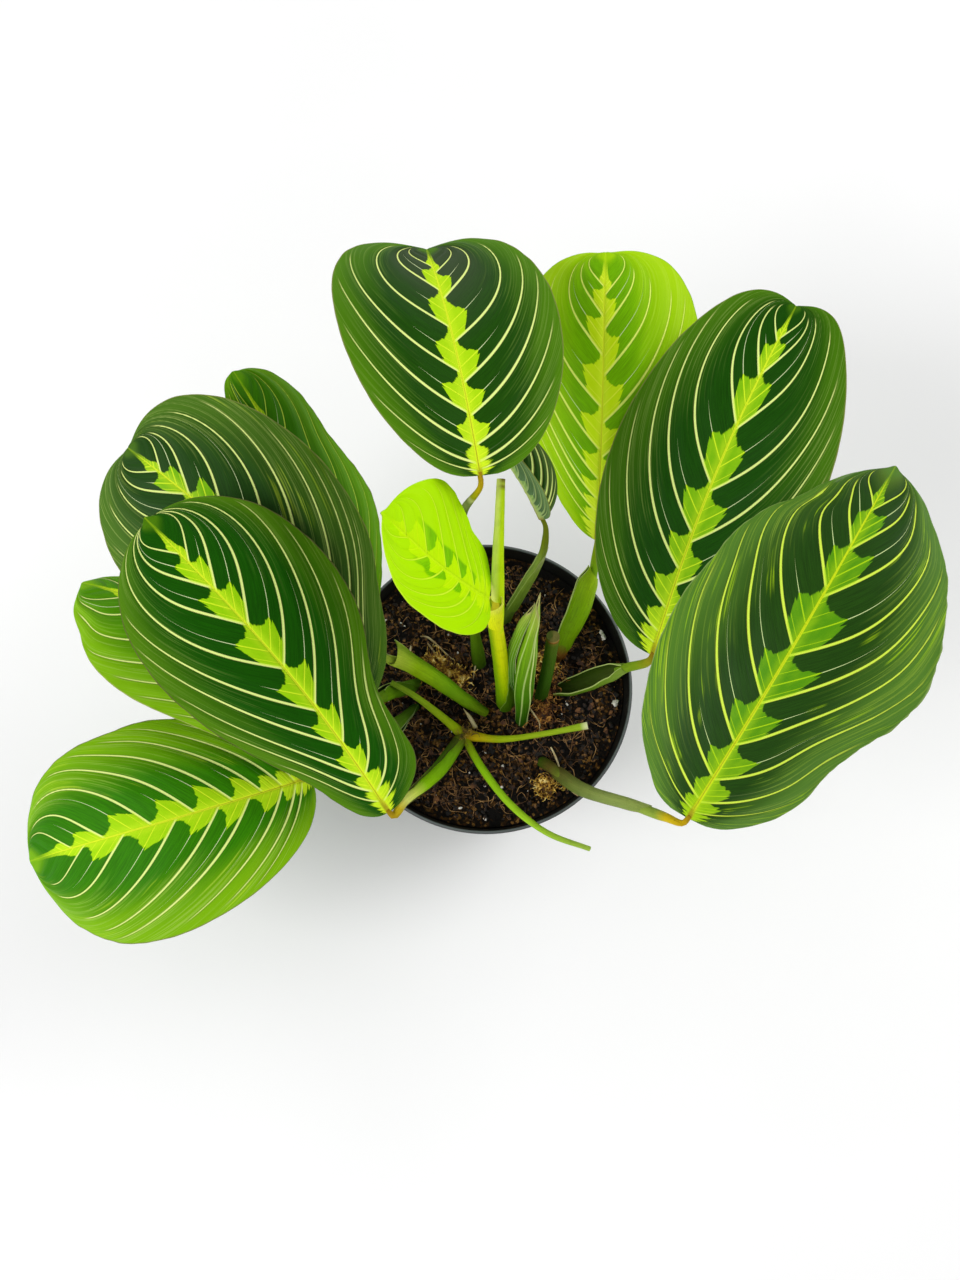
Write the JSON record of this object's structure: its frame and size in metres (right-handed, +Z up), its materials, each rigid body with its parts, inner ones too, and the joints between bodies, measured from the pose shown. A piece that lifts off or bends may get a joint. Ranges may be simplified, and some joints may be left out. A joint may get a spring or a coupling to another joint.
{
  "type": "potted prayer plant",
  "caption": "Potted prayer plant with broad oval leaves, pale ribs and jagged lime midribs, on thin stalks that rise from soil in a round nursery pot.",
  "frame": {"origin": "centre of the pot's flat underside, on the surface that it stands on", "axes": "+Z up out of the pot, +X to the right and +Y away from the viewer of the picture"},
  "size_m": [0.3437, 0.263, 0.2242],
  "materials": {
    "pot_plastic": "thin moulded dark grey plastic, satin, paler along the lip",
    "potting_soil": "dark brown peat with white perlite, bark crumbs and fine roots",
    "leaf_dark": "smooth satin leaf, dark green between cream side veins, lighter at the margin, lime midrib feather",
    "leaf_lime": "smooth satin young leaf, bright lime green",
    "stalk": "smooth fleshy stalk, yellow green to grey green, amber at the joint"
  },
  "bodies": {
    "root": {"pot": "pot_plastic", "soil": "potting_soil", "leaf_top": "leaf_dark", "leaf_top_right": "leaf_lime", "leaf_right": "leaf_dark", "leaf_low_right": "leaf_dark", "leaf_left_front": "leaf_dark", "leaf_left": "leaf_dark", "leaf_left_back": "leaf_dark", "leaf_left_under": "leaf_dark", "leaf_low_left": "leaf_dark", "leaf_young": "leaf_lime", "leaf_folded": "leaf_dark", "leaf_rolled": "leaf_dark", "stalk_top": "stalk", "stalk_top_right": "stalk", "stalk_right": "stalk", "stalk_low_right": "stalk", "stalk_left": "stalk", "stalk_left_back": "stalk", "stalk_left_under": "stalk", "stalk_low_left": "stalk", "stalk_folded": "stalk", "stem_centre": "stalk", "stem_stump": "stalk", "creeping_shoot": "stalk"}
  },
  "joints": []
}
